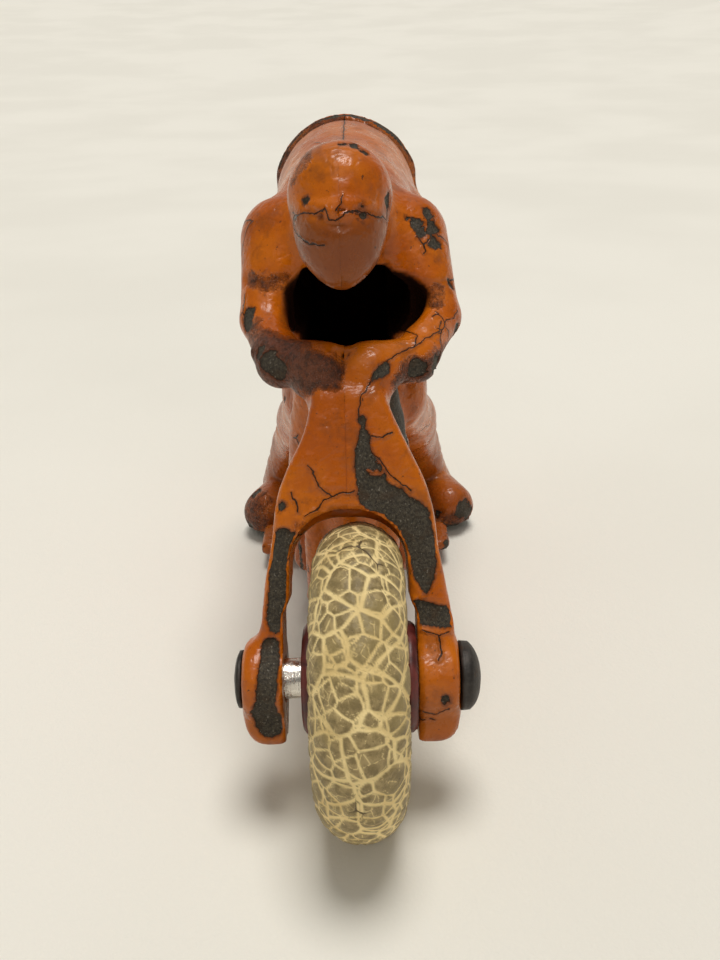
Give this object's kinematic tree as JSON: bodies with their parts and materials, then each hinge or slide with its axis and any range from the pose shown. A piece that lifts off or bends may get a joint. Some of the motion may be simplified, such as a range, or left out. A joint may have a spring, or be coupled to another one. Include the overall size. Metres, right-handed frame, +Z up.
{
  "type": "toy motorcycle with rider",
  "caption": "Cast-iron push-along toy motorcycle: two riveted hollow half castings with a crouching rider, and rubber-tyred wheels on headed axles.",
  "frame": {"origin": "on the floor under the toy, midway between the two axles and on the plane where the castings meet", "axes": "+X forward, +Y to the rider's left, +Z up"},
  "size_m": [0.106, 0.04, 0.0668],
  "materials": {
    "enamelled_iron_left": "thick orange enamel, cracked and chipped to dark grey cast iron",
    "enamelled_iron_right": "thick orange enamel, cracked and chipped to dark grey cast iron",
    "rivet_steel": "dark, worn, traces of orange enamel",
    "axle_steel": "bright shaft between blackened heads",
    "painted_hub": "turned wood painted dark red, semi-gloss",
    "white_rubber": "aged white rubber, yellowed, crazed all over"
  },
  "bodies": {
    "chassis": {"body_left": "enamelled_iron_left", "body_right": "enamelled_iron_right", "rivet_engine": "rivet_steel", "rivet_saddle": "rivet_steel", "rivet_torso": "rivet_steel"},
    "front_axle": {"front_axle": "axle_steel"},
    "front_wheel": {"front_hub": "painted_hub", "front_tyre": "white_rubber"},
    "rear_axle": {"rear_axle": "axle_steel"},
    "rear_wheel": {"rear_hub": "painted_hub", "rear_tyre": "white_rubber"}
  },
  "joints": [
    {"name": "front_wheel_spin", "type": "hinge", "parent": "chassis", "child": "front_axle", "pos_m": [0.037, 0, 0.016], "axis": [0, 1, 0], "continuous": true},
    {"name": "front_wheel_float", "type": "slide", "parent": "front_axle", "child": "front_wheel", "axis": [0, 1, 0], "range_m": [-0.0018, 0]},
    {"name": "rear_wheel_spin", "type": "hinge", "parent": "chassis", "child": "rear_axle", "pos_m": [-0.037, 0, 0.016], "axis": [0, 1, 0], "continuous": true},
    {"name": "rear_wheel_float", "type": "slide", "parent": "rear_axle", "child": "rear_wheel", "axis": [0, 1, 0], "range_m": [-0.0018, 0]}
  ]
}
